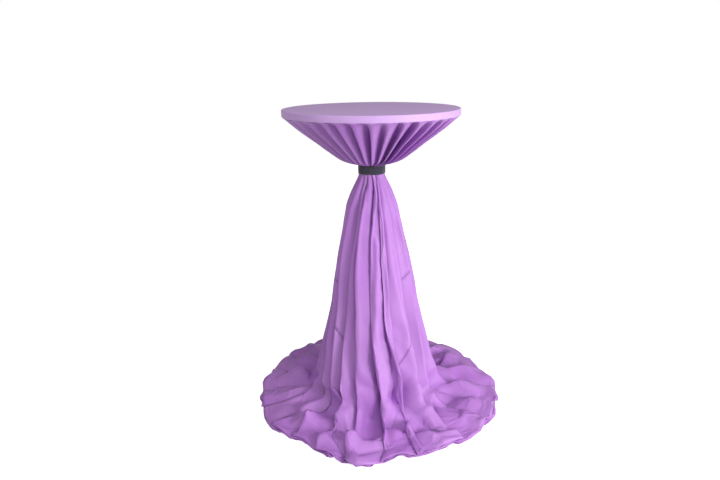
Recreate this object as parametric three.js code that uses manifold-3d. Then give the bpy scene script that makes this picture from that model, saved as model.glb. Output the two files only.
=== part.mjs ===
// A round bar table dressed in a floor-length cloth, which a strap gathers against the column.
// Millimetres, +Z up. The origin is on the floor, on the axis of the column.
import * as THREE from "three";
import { mergeVertices } from "three/addons/utils/BufferGeometryUtils.js";
import Module from "manifold-3d";

const wasm = await Module();
wasm.setup();

// Driving sizes of the table
const tableHeight = 1100; // floor to the top of the board
const topDiameter = 600; // with the edge band
const boardThickness = 22;
const edgeBandThickness = 2;
const columnDiameter = 60;
const columnWall = 2;
const baseDiameter = 420;
const basePlateThickness = 8;
const rodDiameter = 10;
const glideDiameter = 38;
const glidePadHeight = 15;
const glideInset = 35; // from the rim of the base plate to a glide's axis
const glideTravel = 12;

// Driving sizes of the cloth and its strap
const clothThickness = 1;
const bandHeight = 30;
const bandThickness = 1.5;
const bandDrop = 190; // from the top of the board to the top of the band
const bundleThickness = 15; // the gathered cloth between the column and the band
const footRadius = 278; // where the skirt meets the floor
const hemRadius = 470; // the cloth that lies on the floor, before its scallops
const hemScallop = 12; // how far the scallops of the hem reach in and out
const puddleHeight = 12;
const fluteCount = 16;

// Clearances
const gap = 0.3; // between pieces that touch
const runningGap = 0.3; // round a shank in its hole

// Sizes that follow
const topRadius = topDiameter / 2;
const columnRadius = columnDiameter / 2;
const rodRadius = rodDiameter / 2;
const baseRadius = baseDiameter / 2;
const boardBottom = tableHeight - boardThickness;
const bandTop = tableHeight - bandDrop;
const bandBottom = bandTop - bandHeight;
const bundleRadius = columnRadius + gap + bundleThickness;
const plateBottom = glidePadHeight + gap;
const plateTop = plateBottom + basePlateThickness;

const materials = {
  cloth: new THREE.MeshStandardMaterial({ color: 0xbc8cd4, roughness: 0.7, metalness: 0, side: THREE.DoubleSide }),
  strap: new THREE.MeshStandardMaterial({ color: 0x2b2a36, roughness: 0.9, metalness: 0 }),
  board: new THREE.MeshStandardMaterial({ color: 0xe9e6df, roughness: 0.45, metalness: 0 }),
  plastic: new THREE.MeshStandardMaterial({ color: 0x1d1d1f, roughness: 0.6, metalness: 0 }),
  steel: new THREE.MeshStandardMaterial({ color: 0xa9abae, roughness: 0.35, metalness: 1 }),
  paint: new THREE.MeshStandardMaterial({ color: 0x55575a, roughness: 0.5, metalness: 0.4 }),
};

const table = new THREE.Group();

function add(name, geometry, material, parent = table) {
  const mesh = new THREE.Mesh(geometry, material);
  mesh.name = name;
  parent.add(mesh);
  return mesh;
}

// A solid of revolution about Z. Each profile point is [radius, height].
function turned(profile, segments = 24) {
  const points = profile.map(([radius, height]) => new THREE.Vector2(radius, height));
  return new THREE.LatheGeometry(points, segments).rotateX(Math.PI / 2);
}

function cylinder(radius, bottom, top, segments = 24) {
  return turned([[0, bottom], [radius, bottom], [radius, top], [0, top]], segments);
}

function ring(innerRadius, outerRadius, bottom, top, segments = 24) {
  return turned([
    [innerRadius, bottom], [outerRadius, bottom], [outerRadius, top], [innerRadius, top], [innerRadius, bottom],
  ], segments);
}

// A plate cut from a flat outline, from bottom to top.
function plate(outline, bottom, top) {
  const geometry = new THREE.ExtrudeGeometry(outline, { depth: top - bottom, bevelEnabled: false });
  return geometry.translate(0, 0, bottom);
}

function corners(x, y, radius, sides) {
  return Array.from({ length: sides }, (_, i) => {
    const angle = (i * 2 * Math.PI) / sides;
    return new THREE.Vector2(x + radius * Math.cos(angle), y + radius * Math.sin(angle));
  });
}

function roundHole(x, y, radius, sides = 12) {
  return new THREE.Path(corners(x, y, radius, sides).reverse());
}

function hexNut(acrossFlats, boreRadius, bottom, top) {
  const outline = new THREE.Shape(corners(0, 0, acrossFlats / Math.sqrt(3), 6));
  outline.holes.push(roundHole(0, 0, boreRadius));
  return plate(outline, bottom, top);
}

// Solids for the cuts, and back again.
function solidOf(geometry) {
  const bare = geometry.clone();
  bare.deleteAttribute("normal");
  bare.deleteAttribute("uv");
  const merged = mergeVertices(bare, 1e-3);
  return new wasm.Manifold(new wasm.Mesh({
    numProp: 3,
    vertProperties: merged.attributes.position.array,
    triVerts: new Uint32Array(merged.index.array),
  }));
}

function geometryOf(solid) {
  const mesh = solid.getMesh();
  return new THREE.BufferGeometry()
    .setAttribute("position", new THREE.BufferAttribute(new Float32Array(mesh.vertProperties), 3))
    .setIndex(new THREE.BufferAttribute(new Uint32Array(mesh.triVerts), 1));
}

function cut(geometry, cutters) {
  return geometryOf(cutters.reduce((solid, cutter) => solid.subtract(solidOf(cutter)), solidOf(geometry)));
}

// ---------------------------------------------------------------- fasteners
const nutWidth = 17;
const nutHeight = 8;
const washerRadius = 10.5;
const washerThickness = 2;
const spiderThickness = 5;
const spiderTop = boardBottom - gap;
const spiderBottom = spiderTop - spiderThickness;
const topWasherBottom = spiderTop + gap;
const topNutBottom = topWasherBottom + washerThickness + gap;
const rodTop = topNutBottom + nutHeight + 1;
const bottomWasherTop = plateBottom - gap;
const bottomNutTop = bottomWasherTop - washerThickness - gap;
const rodBottom = bottomNutTop - nutHeight - 1;

function tieRod() {
  const bore = rodRadius + runningGap;
  add("tie_rod", cylinder(rodRadius, rodBottom, rodTop, 16), materials.steel);
  add("tie_rod_top_washer",
    ring(bore, washerRadius, topWasherBottom, topWasherBottom + washerThickness), materials.steel);
  add("tie_rod_top_nut", hexNut(nutWidth, bore, topNutBottom, topNutBottom + nutHeight), materials.steel);
  add("tie_rod_bottom_washer",
    ring(bore, washerRadius, bottomWasherTop - washerThickness, bottomWasherTop), materials.steel);
  add("tie_rod_bottom_nut", hexNut(nutWidth, bore, bottomNutTop - nutHeight, bottomNutTop), materials.steel);
}

// ---------------------------------------------------------------- tabletop
const spiderArmWidth = 40;
const spiderReach = topRadius * 0.65; // from the axis to the end of an arm
const screwShankRadius = 2.2;
const screwHeadRadius = 4.5;
const screwHeadHeight = 2.5;
const screwGrip = 14; // of the shank in the board
const screwPlaces = [spiderReach - 15, spiderReach - 70]; // along each arm
const armAngles = [45, 135, 225, 315].map(THREE.MathUtils.degToRad);

function screwAxes() {
  return armAngles.flatMap((angle) =>
    screwPlaces.map((reach) => [reach * Math.cos(angle), reach * Math.sin(angle)]));
}

function tabletop() {
  const boardRadius = topRadius - edgeBandThickness - gap;
  const pilots = screwAxes().map(([x, y]) =>
    cylinder(screwShankRadius + runningGap, boardBottom - 1, boardBottom + screwGrip + 1, 12).translate(x, y, 0));
  const nutRecess = cylinder(washerRadius + 2, boardBottom - 1, rodTop + 2);
  add("tabletop_board", cut(cylinder(boardRadius, boardBottom, tableHeight, 64), [nutRecess, ...pilots]),
    materials.board);
  add("tabletop_edge_band", ring(boardRadius + gap, topRadius, boardBottom, tableHeight, 64), materials.plastic);
}

function spider() {
  const half = spiderArmWidth / 2;
  const outline = new THREE.Shape();
  armAngles.forEach((angle, i) => {
    const along = new THREE.Vector2(Math.cos(angle), Math.sin(angle));
    const across = new THREE.Vector2(-along.y, along.x);
    const armCorners = [[half, -half], [spiderReach, -half], [spiderReach, half]];
    armCorners.forEach(([reach, side], k) => {
      const point = along.clone().multiplyScalar(reach).addScaledVector(across, side);
      if (i === 0 && k === 0) outline.moveTo(point.x, point.y);
      else outline.lineTo(point.x, point.y);
    });
  });
  outline.closePath();
  outline.holes.push(roundHole(0, 0, rodRadius + runningGap));
  screwAxes().forEach(([x, y]) => outline.holes.push(roundHole(x, y, screwShankRadius + runningGap)));
  add("top_spider", plate(outline, spiderBottom, spiderTop), materials.paint);
  const headTop = spiderBottom - gap;
  screwAxes().forEach(([x, y], i) => {
    const profile = [
      [0, headTop - screwHeadHeight],
      [screwHeadRadius * 0.7, headTop - screwHeadHeight],
      [screwHeadRadius, headTop - screwHeadHeight * 0.4],
      [screwHeadRadius, headTop],
      [screwShankRadius, headTop],
      [screwShankRadius, boardBottom + screwGrip - 3],
      [0, boardBottom + screwGrip],
    ];
    add(`spider_screw_${i + 1}`, turned(profile, 12).translate(x, y, 0), materials.steel);
  });
}

// ---------------------------------------------------------------- column and base
const plugHeight = 25;
const plugRadius = columnRadius - columnWall - runningGap;
const collarHeight = 14;
const collarReach = 18; // of the collar past the column

function column() {
  const bottom = plateTop + gap;
  const top = spiderBottom - gap;
  const bore = rodRadius + runningGap;
  add("column_tube", ring(columnRadius - columnWall, columnRadius, bottom, top, 32), materials.steel);
  add("column_head_plug", ring(bore, plugRadius, top - plugHeight, top, 32), materials.paint);
  add("column_foot_plug", ring(bore, plugRadius, bottom, bottom + plugHeight, 32), materials.paint);
  const inner = columnRadius + gap;
  const outer = columnRadius + collarReach;
  add("base_collar", turned([
    [inner, bottom],
    [outer, bottom],
    [outer, bottom + collarHeight * 0.3],
    [inner + collarReach * 0.3, bottom + collarHeight],
    [inner, bottom + collarHeight],
    [inner, bottom],
  ], 32), materials.steel);
}

const studRadius = 4;
const studSeat = 3; // material of the pad under the stud
const glideNutWidth = 13;
const glideNutHeight = 6.5;
const glideAxis = baseRadius - glideInset;
const glidePlaces = [
  ["front_left", 225],
  ["front_right", 315],
  ["back_right", 45],
  ["back_left", 135],
];

function placeOf(degrees) {
  const angle = THREE.MathUtils.degToRad(degrees);
  return [glideAxis * Math.cos(angle), glideAxis * Math.sin(angle)];
}

function base() {
  const outline = new THREE.Shape(corners(0, 0, baseRadius, 48));
  outline.holes.push(roundHole(0, 0, rodRadius + runningGap));
  glidePlaces.forEach(([, degrees]) =>
    outline.holes.push(roundHole(...placeOf(degrees), studRadius + runningGap)));
  add("base_plate", plate(outline, plateBottom, plateTop), materials.paint);
  glidePlaces.forEach(([place, degrees]) => glide(place, ...placeOf(degrees)));
}

function glide(place, x, y) {
  const radius = glideDiameter / 2;
  const rounding = 2;
  const seat = studRadius + gap;
  const nutBottom = plateTop + gap;
  const nutTop = nutBottom + glideNutHeight;
  const pad = turned([
    [0, 0],
    [radius - rounding, 0],
    [radius, rounding],
    [radius, glidePadHeight * 0.4],
    [radius * 0.6, glidePadHeight],
    [seat, glidePadHeight],
    [seat, studSeat],
    [0, studSeat],
  ], 20);
  add(`glide_pad_${place}`, pad.translate(x, y, 0), materials.plastic);
  add(`glide_stud_${place}`,
    cylinder(studRadius, studSeat + gap, nutTop + glideTravel / 2, 12).translate(x, y, 0), materials.steel);
  add(`glide_nut_${place}`,
    hexNut(glideNutWidth, studRadius + runningGap, nutBottom, nutTop).translate(x, y, 0), materials.steel);
}

// ---------------------------------------------------------------- cloth
// The outline of the draped cloth, as a share of the way from the first radius or height to the last.
const swagShape = [[0, 0], [0.16, 0.27], [0.38, 0.5], [0.58, 0.72], [0.75, 0.9], [0.93, 0.985]];
const skirtShape = [
  [0.06, 0.06], [0.19, 0.13], [0.28, 0.22], [0.365, 0.33], [0.44, 0.455],
  [0.52, 0.55], [0.66, 0.69], [0.85, 0.85],
];
const clothInner = topRadius + gap;
const clothOuter = clothInner + clothThickness;
const clothTop = tableHeight + gap + clothThickness;
const rimBottom = boardBottom - gap;
const bundleOverlap = 30; // how far the thick bundle runs past the band, up and down

// The outer side of the cloth from the rim to the waist, and from the waist to the floor.
function swag() {
  const waist = bandTop + gap;
  return swagShape.map(([inward, down]) => [
    THREE.MathUtils.lerp(clothOuter, bundleRadius, inward),
    THREE.MathUtils.lerp(rimBottom, waist, down),
  ]);
}

function skirt() {
  return skirtShape.map(([outward, down]) => [
    THREE.MathUtils.lerp(bundleRadius, footRadius, outward),
    THREE.MathUtils.lerp(bandBottom - gap, puddleHeight, down),
  ]);
}

// The same run of points, a thickness further in along the normal of the run.
function inset(run, thickness) {
  return run.map(([radius, height], i) => {
    const before = run[Math.max(i - 1, 0)];
    const after = run[Math.min(i + 1, run.length - 1)];
    const along = new THREE.Vector2(after[0] - before[0], after[1] - before[1]).normalize();
    return [radius + along.y * thickness, height - along.x * thickness];
  });
}

// The outer side from the middle of the top to the underside on the floor, and the inner side back up.
function clothSides() {
  const column = columnRadius + gap;
  const middle = THREE.MathUtils.lerp(footRadius, hemRadius, 0.35);
  const outer = [
    [0, clothTop], [clothOuter, clothTop],
    ...swag(),
    [bundleRadius, bandTop + gap], [bundleRadius, bandBottom - gap],
    ...skirt(),
    [footRadius, puddleHeight * 1.6],
    [middle, puddleHeight],
    [THREE.MathUtils.lerp(footRadius, hemRadius, 0.75), puddleHeight * 0.7],
    [hemRadius, puddleHeight * 0.25],
    [hemRadius, 0], [middle, 0], [footRadius, 0],
  ];
  const insideSkirt = inset(skirt(), clothThickness).filter(([, height]) => height < bandBottom - bundleOverlap);
  const insideSwag = inset(swag(), clothThickness).filter(([, height]) => height > bandTop + bundleOverlap / 3);
  const inner = [
    ...insideSkirt.reverse(),
    [column, bandBottom - bundleOverlap], [column, bandTop + bundleOverlap],
    ...insideSwag.reverse().slice(0, -1),
    [clothInner, rimBottom], [clothInner, clothTop - clothThickness], [0, clothTop - clothThickness],
  ];
  return { outer, inner };
}

// How far the flutes reach in and out at a height, as a share of the way out from the waist.
function fluteDepth(height) {
  const below = THREE.MathUtils.smoothstep(bandBottom - height, 0, 150) * 0.14;
  const near = THREE.MathUtils.smoothstep(height, 0, 200);
  const above = THREE.MathUtils.smoothstep(height, bandTop, bandTop + 60);
  const rim = 1 - THREE.MathUtils.smoothstep(height, rimBottom - 80, rimBottom);
  return THREE.MathUtils.lerp(0.03, 1, near) * below + 0.08 * above * rim;
}

// The triangles of a lathe. Those of the inner side take the other diagonal, which keeps them beside the outer ones.
function shellIndex(rows, innerRows, segments) {
  const index = [];
  for (let i = 0; i < segments; i++) {
    for (let j = 0; j < rows - 1; j++) {
      const a = i * rows + j;
      const b = a + rows;
      if (j < innerRows) index.push(a, b, b + 1, b + 1, a + 1, a);
      else index.push(a, b, a + 1, b + 1, a + 1, b);
    }
  }
  return index;
}

function drapedCloth() {
  const { outer, inner } = clothSides();
  const profile = [...outer, ...inner].reverse();
  const geometry = turned(profile, fluteCount * 4);
  geometry.setIndex(shellIndex(profile.length, inner.length, fluteCount * 4));
  const position = geometry.attributes.position;
  for (let i = 0; i < position.count; i++) {
    const [x, y, z] = [position.getX(i), position.getY(i), position.getZ(i)];
    const radius = Math.hypot(x, y);
    const wave = Math.cos(fluteCount * Math.atan2(y, x));
    const onFloor = z < 2 * puddleHeight ? THREE.MathUtils.smoothstep(radius, footRadius, hemRadius) : 0;
    const reach = fluteDepth(z) * Math.max(0, radius - bundleRadius) + hemScallop * onFloor;
    const scale = radius > 0 ? (radius + reach * wave) / radius : 1;
    position.setXYZ(i, x * scale, y * scale, z * (1 + 0.4 * onFloor * wave));
  }
  return geometry;
}

// The side panels are cut along a straight line in the flat cloth, which drapes as an arch over each side.
const seamPeak = 610; // height of the arch's top
const seamFloorDegrees = 55; // from the middle of a side to where the seam meets the floor
const seamGap = 0.6;
const seamSteps = 16;

function seamHeight(share) {
  const secant = (degrees) => 1 / Math.cos(THREE.MathUtils.degToRad(degrees));
  const climbed = (secant(share * seamFloorDegrees) - 1) / (secant(seamFloorDegrees) - 1);
  return seamPeak * (1 - climbed);
}

// Everything under the arch over one side, with walls that run straight out from the column.
function sidePanelCutter(middle, margin) {
  const turnMargin = THREE.MathUtils.radToDeg(margin / footRadius);
  const outline = new THREE.Shape();
  outline.moveTo(-seamFloorDegrees - turnMargin, -gap);
  for (let i = -seamSteps; i <= seamSteps; i++) {
    const share = i / seamSteps;
    outline.lineTo(share * (seamFloorDegrees + turnMargin), seamHeight(Math.abs(share)) + margin);
  }
  outline.lineTo(seamFloorDegrees + turnMargin, -gap);
  outline.closePath();
  const geometry = new THREE.ExtrudeGeometry(outline, { depth: hemRadius * 2, bevelEnabled: false });
  const position = geometry.attributes.position;
  for (let i = 0; i < position.count; i++) {
    const angle = THREE.MathUtils.degToRad(middle + position.getX(i));
    const radius = columnRadius + position.getZ(i);
    position.setXYZ(i, radius * Math.cos(angle), radius * Math.sin(angle), position.getY(i));
  }
  return geometry;
}

function cloth() {
  const whole = solidOf(drapedCloth());
  const sides = [["right", 0], ["left", 180]];
  const opened = sides.reduce(
    (solid, [, middle]) => solid.subtract(solidOf(sidePanelCutter(middle, seamGap / 2))), whole);
  add("cloth_centre_panel", geometryOf(opened), materials.cloth);
  sides.forEach(([side, middle]) => {
    const panel = whole.intersect(solidOf(sidePanelCutter(middle, -seamGap / 2)));
    add(`cloth_${side}_panel`, geometryOf(panel), materials.cloth);
  });
}

// ---------------------------------------------------------------- strap
const hookThickness = 1;
const overlapDegrees = 70;
const overlapStart = 90; // the overlap is at the back

// An upright strip that follows a spiral. Each radius is a function of the degrees turned.
function wound(innerRadiusAt, thickness, from, to, step) {
  const inner = [];
  const outer = [];
  const steps = Math.round((to - from) / step);
  for (let i = 0; i <= steps; i++) {
    const degrees = from + ((to - from) * i) / steps;
    const angle = THREE.MathUtils.degToRad(degrees);
    const radius = innerRadiusAt(degrees);
    inner.push(new THREE.Vector2(radius * Math.cos(angle), radius * Math.sin(angle)));
    outer.push(new THREE.Vector2((radius + thickness) * Math.cos(angle), (radius + thickness) * Math.sin(angle)));
  }
  return plate(new THREE.Shape([...outer, ...inner.reverse()]), bandBottom, bandTop);
}

function strap() {
  const first = bundleRadius + gap;
  const layerStep = bandThickness + hookThickness + 2 * gap;
  const start = overlapStart - overlapDegrees / 2;
  const rampLength = 25;
  const radiusAt = (degrees) =>
    first + layerStep * THREE.MathUtils.smoothstep(degrees, start + 360 - rampLength, start + 360);
  add("tie_band", wound(radiusAt, bandThickness, start, start + 360 + overlapDegrees, 7.5), materials.strap);
  const patchRadius = first + bandThickness + gap;
  add("tie_band_hook_patch",
    wound(() => patchRadius, hookThickness, start + 5, start + overlapDegrees - 5, 7.5), materials.strap);
}

tabletop();
spider();
tieRod();
column();
base();
cloth();
strap();

export default table;
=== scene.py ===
"""A round bar table dressed in a floor-length cloth that a strap gathers against the column.

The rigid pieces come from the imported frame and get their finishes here. The cloth and the strap are made here.
Lengths are in metres, +Z is up, and the origin is on the floor, on the axis of the column.
"""

from __future__ import annotations

import logging
import math
from dataclasses import dataclass, field
from enum import Enum

import bmesh
import bpy
import numpy as np
from mathutils import Matrix, Vector


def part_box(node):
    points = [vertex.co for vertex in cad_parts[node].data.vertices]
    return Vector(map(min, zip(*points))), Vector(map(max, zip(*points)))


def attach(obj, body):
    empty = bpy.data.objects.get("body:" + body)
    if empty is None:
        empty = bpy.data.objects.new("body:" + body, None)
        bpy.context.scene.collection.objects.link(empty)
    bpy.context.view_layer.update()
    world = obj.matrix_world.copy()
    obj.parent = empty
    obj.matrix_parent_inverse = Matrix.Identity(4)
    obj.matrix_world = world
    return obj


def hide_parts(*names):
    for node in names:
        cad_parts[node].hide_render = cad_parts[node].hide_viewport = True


LOG = logging.getLogger("dressed_table")
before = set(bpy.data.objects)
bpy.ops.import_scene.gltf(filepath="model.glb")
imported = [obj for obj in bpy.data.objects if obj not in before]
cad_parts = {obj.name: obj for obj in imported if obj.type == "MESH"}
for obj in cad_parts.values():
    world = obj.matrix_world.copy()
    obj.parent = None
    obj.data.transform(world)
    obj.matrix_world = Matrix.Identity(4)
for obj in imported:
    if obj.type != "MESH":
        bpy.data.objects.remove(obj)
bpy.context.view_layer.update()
ROOT_BODY = "table"
Colour = tuple[float, float, float]


# ---------------------------------------------------------------- helpers
def linear(red: int, green: int, blue: int) -> Colour:
    """Turns a display colour into the linear colour that a shader takes.

    Args:
        red: From 0 to 255.
        green: From 0 to 255.
        blue: From 0 to 255.

    Returns:
        The linear colour.
    """
    shares = [value / 255 for value in (red, green, blue)]
    return tuple(s / 12.92 if s <= 0.04045 else ((s + 0.055) / 1.055) ** 2.4 for s in shares)


def eased(value: np.ndarray | float) -> np.ndarray | float:
    """A smooth step from 0 to 1 while the value goes from 0 to 1."""
    value = np.clip(value, 0.0, 1.0)
    return value * value * (3 - 2 * value)


def resampled(grid: np.ndarray, count: int, axis: int, closed: bool) -> np.ndarray:
    """Puts another number of points on a smooth curve through those of a grid.

    Args:
        grid: Points in rows and columns, with x, y and z last.
        count: How many points to make along the axis.
        axis: 0 for the rows and 1 for the columns.
        closed: Whether the last point is followed by the first.

    Returns:
        The grid with that many points along the axis.
    """
    along = np.moveaxis(grid, axis, 0)
    total = len(along)
    at = np.arange(count) * total / count if closed else np.linspace(0, total - 1, count)
    first = np.floor(at).astype(int) if closed else np.minimum(np.floor(at).astype(int), total - 2)
    share = (at - first)[:, None, None]

    def near(step: int) -> np.ndarray:
        """The points that many places after the first ones."""
        places = first + step
        return along[places % total] if closed else along[np.clip(places, 0, total - 1)]

    a, b, c, d = near(-1), near(0), near(1), near(2)
    bend = 2 * a - 5 * b + 4 * c - d + share * (3 * (b - c) + d - a)
    return np.moveaxis(b + 0.5 * share * (c - a + share * bend), 0, axis)


def linked(name: str, mesh: bpy.types.Mesh) -> bpy.types.Object:
    """Puts a mesh in the scene as an object of that name."""
    piece = bpy.data.objects.new(name, mesh)
    bpy.context.scene.collection.objects.link(piece)
    return piece


def mesh_of(name: str, points: np.ndarray, edges: list, faces: list) -> bpy.types.Object:
    """Makes an object from its points, edges and faces.

    Args:
        name: The object's name.
        points: One row of x, y and z for each point.
        edges: Pairs of point numbers, for a bare line.
        faces: The point numbers of each face, counter-clockwise from outside.

    Returns:
        The object, with smooth faces.
    """
    mesh = bpy.data.meshes.new(name)
    mesh.from_pydata(np.asarray(points, float).tolist(), edges, faces)
    mesh.update()
    for polygon in mesh.polygons:
        polygon.use_smooth = True
    return linked(name, mesh)


def grid_faces(rows: int, columns: int, closed: bool) -> list[tuple[int, int, int, int]]:
    """The faces between the points of a grid.

    Args:
        rows: How many rows the grid has.
        columns: How many points a row has.
        closed: Whether the last column joins the first.

    Returns:
        One tuple of four point numbers for each face.
    """
    number = np.arange(rows * columns).reshape(rows, columns)
    beside = np.roll(number, -1, axis=1)
    if not closed:
        number, beside = number[:, :-1], beside[:, :-1]
    quads = np.stack([number[:-1], number[1:], beside[1:], beside[:-1]], -1).reshape(-1, 4)
    return [tuple(quad) for quad in quads.tolist()]


def finished(piece: bpy.types.Object, name: str) -> bpy.types.Object:
    """Turns an object and its modifiers into a plain mesh of its own.

    Args:
        piece: The object, which is removed.
        name: The name of the new object.

    Returns:
        The plain object.
    """
    bpy.context.view_layer.update()
    graph = bpy.context.evaluated_depsgraph_get()
    mesh = bpy.data.meshes.new_from_object(piece.evaluated_get(graph))
    bpy.data.objects.remove(piece)
    mesh.name = name
    return linked(name, mesh)


def thickened(piece: bpy.types.Object, thickness: float, offset: float = -1.0) -> bpy.types.Object:
    """Gives a sheet its thickness.

    Args:
        piece: The sheet, which is replaced.
        thickness: The wall to give it.
        offset: -1 for a wall on the inner side, and 0 for one on both sides.

    Returns:
        The plain object of the same name.
    """
    name = piece.name
    piece.name = name + "_sheet"
    wall = piece.modifiers.new("wall", "SOLIDIFY")
    wall.thickness = thickness
    wall.offset = offset
    return finished(piece, name)


class Shader:
    """A material's nodes, with short calls that add and join them."""

    def __init__(self, name: str) -> None:
        """Starts a material of that name."""
        self.material = bpy.data.materials.new(name)
        self.material.use_nodes = True
        self.nodes = self.material.node_tree.nodes
        self.links = self.material.node_tree.links
        self.surface = self.nodes["Principled BSDF"]

    def feed(self, socket: bpy.types.NodeSocket, value: object) -> None:
        """Joins an output to an input, or sets the input's value."""
        if isinstance(value, bpy.types.NodeSocket):
            self.links.new(value, socket)
        else:
            socket.default_value = value

    def node(self, kind: str, inputs: dict, settings: dict | None = None) -> bpy.types.Node:
        """Adds a node.

        Args:
            kind: The node's type, without ShaderNode.
            inputs: A value or an output for each named or numbered input.
            settings: The node's other properties.

        Returns:
            The node.
        """
        made = self.nodes.new("ShaderNode" + kind)
        for key, value in (settings or {}).items():
            setattr(made, key, value)
        for key, value in inputs.items():
            self.feed(made.inputs[key], value)
        return made

    def calc(self, operation: str, *values: object) -> bpy.types.NodeSocket:
        """The output of a Math node with that operation on those values."""
        return self.node("Math", dict(enumerate(values)), {"operation": operation}).outputs[0]

    def blend(self, share: object, first: object, second: object) -> bpy.types.NodeSocket:
        """The output of a colour mix from the first colour to the second."""
        return self.node("Mix", {0: share, 6: first, 7: second}, {"data_type": "RGBA"}).outputs[2]

    def noise(self, place: object, scale: float, detail: float = 3.0) -> bpy.types.NodeSocket:
        """The height of a noise at a place."""
        return self.node("TexNoise", {"Vector": place, "Scale": scale, "Detail": detail}).outputs[0]

    def ranged(self, value: object, low: float, high: float, to_low: float, to_high: float) -> bpy.types.NodeSocket:
        """Maps a value from one range to another, and keeps it in that range."""
        keys = ("Value", "From Min", "From Max", "To Min", "To Max")
        return self.node("MapRange", dict(zip(keys, (value, low, high, to_low, to_high)))).outputs[0]

    def bump(self, height: object, distance: float, strength: float, under: object = None) -> bpy.types.NodeSocket:
        """The normal of a bump, on top of another one if it is given."""
        inputs = {"Height": height, "Distance": distance, "Strength": strength}
        if under is not None:
            inputs["Normal"] = under
        return self.node("Bump", inputs).outputs[0]

    def object_place(self) -> bpy.types.NodeSocket:
        """The place on the object, in metres."""
        return self.node("TexCoord", {}).outputs["Object"]

    def done(self, **inputs: object) -> bpy.types.Material:
        """Sets the surface's inputs, with an underscore for each space, and returns the material."""
        for key, value in inputs.items():
            self.feed(self.surface.inputs[key.replace("_", " ")], value)
        return self.material


class Grower:
    """A Geometry Nodes tree with named inputs, and short calls that add and join its nodes."""

    def __init__(self, name: str, inputs: dict[str, str]) -> None:
        """Starts a tree.

        Args:
            name: The tree's name.
            inputs: The socket type of each named input.
        """
        self.tree = bpy.data.node_groups.new(name, "GeometryNodeTree")
        face = self.tree.interface
        face.new_socket("Geometry", in_out="INPUT", socket_type="NodeSocketGeometry")
        self.keys = {
            label: face.new_socket(label, in_out="INPUT", socket_type="NodeSocket" + kind).identifier
            for label, kind in inputs.items()
        }
        face.new_socket("Geometry", in_out="OUTPUT", socket_type="NodeSocketGeometry")
        self.start = self.tree.nodes.new("NodeGroupInput").outputs
        self.end = self.tree.nodes.new("NodeGroupOutput").inputs[0]

    def node(self, kind: str, inputs: dict, settings: dict | None = None) -> bpy.types.Node:
        """Adds a node.

        Args:
            kind: The node's whole type.
            inputs: A value or an output for each named or numbered input.
            settings: The node's other properties.

        Returns:
            The node.
        """
        made = self.tree.nodes.new(kind)
        for key, value in (settings or {}).items():
            setattr(made, key, value)
        for key, value in inputs.items():
            if isinstance(value, bpy.types.NodeSocket):
                self.tree.links.new(value, made.inputs[key])
            else:
                made.inputs[key].default_value = value
        return made

    def finish(self, instances: bpy.types.NodeSocket) -> None:
        """Ends the tree with real geometry in the given material."""
        real = self.node("GeometryNodeRealizeInstances", {"Geometry": instances}).outputs[0]
        soft = self.node("GeometryNodeSetShadeSmooth", {"Geometry": real}).outputs[0]
        dressed = self.node("GeometryNodeSetMaterial", {"Geometry": soft, "Material": self.start["Material"]})
        self.tree.links.new(dressed.outputs[0], self.end)

    def grown(self, carrier: bpy.types.Object, name: str, **values: object) -> bpy.types.Object:
        """Runs the tree on an object.

        Args:
            carrier: The object that the tree reads, which is removed.
            name: The name of the result.
            **values: The tree's inputs, with an underscore for each space.

        Returns:
            The result as a plain object.
        """
        modifier = carrier.modifiers.new("grown", "NODES")
        modifier.node_group = self.tree
        for label, value in values.items():
            modifier[self.keys[label.replace("_", " ")]] = value
        return finished(carrier, name)


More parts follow.
